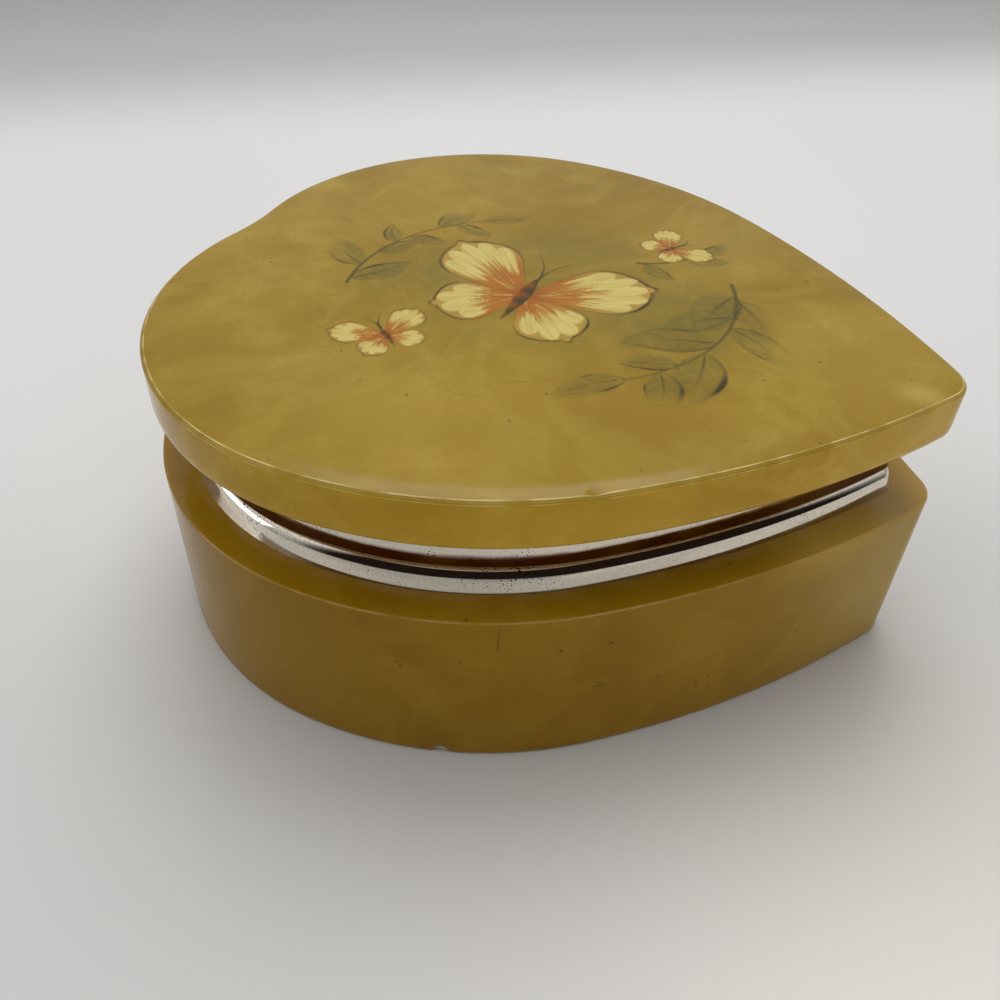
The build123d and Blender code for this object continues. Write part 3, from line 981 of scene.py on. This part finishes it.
painting.data.materials.append(lid_stone_material)
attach(painting, "lid")

# Floor, shaded as the photographed one is
FLOOR_SIZE = 3000.0
FLOOR_COLOR = linear(220, 220, 219)
FLOOR_WARM = linear(232, 229, 224)
WHITE = (1, 1, 1, 1)


def floor_paper():
    """Matt paper, a little warmer at the near right, with painted shade far off and at the near left, and a
    painted shadow by the tip.
    """
    s = Shader("floor_paper")
    place = s.place()

    def distance(right, away):
        """How far a place lies along this direction on the floor, in millimetres."""
        way = (u_axis * right + v_axis * away).normalized()
        return s.vector("DOT_PRODUCT", place, (way.x, way.y, 0))

    def painted_shade(color, amount, shade):
        """The colour, multiplied by the shade where the amount is 1."""
        return s.mix(1.0, color, s.mix(amount, WHITE, shade), "MULTIPLY")

    # Painted shade: the floor is darker far off and at the near left
    far = distance(-0.25, 1)
    near_left = distance(-0.6, -0.8)
    color = s.mix(s.ramp(distance(0.5, -0.87), 30, 85), FLOOR_COLOR, FLOOR_WARM)
    for along, start, end, shade in ((far, 180, 305, 0.62), (far, 280, 430, 0.82), (near_left, 40, 85, 0.87)):
        color = painted_shade(color, s.ramp(along, start, end), (shade, shade, shade, 1))
    # Painted shadow of the box, on the floor beside its tip
    painted_shadow_spot = u_axis * 62 - v_axis * 22
    color = painted_shade(color, s.near(place, (painted_shadow_spot.x, painted_shadow_spot.y, 0), 64), (0.84, 0.84, 0.83, 1))
    s.set(Base_Color=color, Roughness=0.6)
    return s.material


half = FLOOR_SIZE / 2 * MM
floor_mesh = bpy.data.meshes.new("floor")
floor_corners = [(-half, -half, 0), (half, -half, 0), (half, half, 0), (-half, half, 0)]
floor_mesh.from_pydata(floor_corners, [], [(0, 1, 2, 3)])
floor_mesh.materials.append(floor_paper())
floor = added("floor", floor_mesh)

# Camera, where the photograph was taken from. It was cropped from a larger frame, so the lens is shifted
TARGET = Vector((0.07, 10.1, 24.2))
DISTANCE = 132.6
ROLL = 1.48
FOCAL_PIXELS = 857.0
IMAGE_SIDE = 1000.0
PRINCIPAL = (490.3, 380.0)  # the pixel that the lens points at
SENSOR = 36.0
NEAREST = 5.0

azimuth, elevation = math.radians(VIEW_AZIMUTH), math.radians(VIEW_ELEVATION)
level_back = Vector((math.sin(azimuth), -math.cos(azimuth), 0))
back = level_back * math.cos(elevation) + Vector((0, 0, math.sin(elevation)))
camera_data = bpy.data.cameras.new("camera")
camera_data.sensor_width = SENSOR
camera_data.lens = SENSOR * FOCAL_PIXELS / IMAGE_SIDE
camera_data.shift_x = (IMAGE_SIDE / 2 - PRINCIPAL[0]) / IMAGE_SIDE
camera_data.shift_y = (PRINCIPAL[1] - IMAGE_SIDE / 2) / IMAGE_SIDE
camera_data.clip_start = NEAREST * MM
camera = added("camera", camera_data)
camera.location = (TARGET + back * DISTANCE) * MM
camera.rotation_mode = "QUATERNION"
roll = Matrix.Rotation(math.radians(ROLL), 3, "Z").to_quaternion()
camera.rotation_quaternion = (-back).to_track_quat("-Z", "Y") @ roll
bpy.context.scene.camera = camera

# World: a soft sky all round, and the dim side of the room behind the camera, which the bands mirror
SKY_LOW = (0.5, 0.5, 0.5, 1)
SKY_HIGH = (1.0, 0.995, 0.985, 1)
ROOM = (0.02, 0.011, 0.008, 1)
ROOM_SIDE = (-0.8, -0.6, 0)  # the direction that the dim side lies in
SKY_STRENGTH = 0.85

world = bpy.data.worlds.new("studio")
bpy.context.scene.world = world
world.use_nodes = True
w = Nodes(world.node_tree)
direction = w.node("ShaderNodeTexCoord").outputs["Generated"]
upward = w.node("ShaderNodeSeparateXYZ", Vector=direction).outputs["Z"]
level_direction = w.vector("NORMALIZE", w.vector("MULTIPLY", direction, (1, 1, 0)))
toward_room = w.ramp(w.vector("DOT_PRODUCT", level_direction, ROOM_SIDE), 0.25, 0.55)
over_floor = w.ramp(upward, 0.0, 0.05)
under_ceiling = w.ramp(upward, 0.92, 0.8)
in_room = w.math("MULTIPLY", w.math("MULTIPLY", toward_room, over_floor), under_ceiling)
sky = w.mix(w.ramp(upward, 0.15, 0.85), SKY_LOW, SKY_HIGH)
background = w.tree.nodes["Background"]
w.put(background.inputs["Color"], w.mix(in_room, sky, ROOM))
w.put(background.inputs["Strength"], SKY_STRENGTH)

# Lights: large soft panels that face the box
PANEL_TARGET = (0, 0, 20)


def panel(name, place, size, power, mirrored=True):
    """A large soft light that faces the box. Unless it is mirrored, no reflection shows it."""
    light = bpy.data.lights.new(name, "AREA")
    light.shape = "RECTANGLE"
    light.size, light.size_y = size[0] * MM, size[1] * MM
    light.energy = power
    made = added(name, light)
    made.location = Vector(place) * MM
    made.rotation_mode = "QUATERNION"
    made.rotation_quaternion = (Vector(PANEL_TARGET) - Vector(place)).to_track_quat("-Z", "Y")
    made.visible_glossy = mirrored


panel("overhead", (255, 105, 700), (460, 460), 2.36)
panel("back_left", (-330, 560, 190), (300, 260), 0.5)
panel("front_fill", (-480, -1310, 300), (1250, 450), 4.9, mirrored=False)

bpy.context.scene.view_settings.view_transform = "Standard"
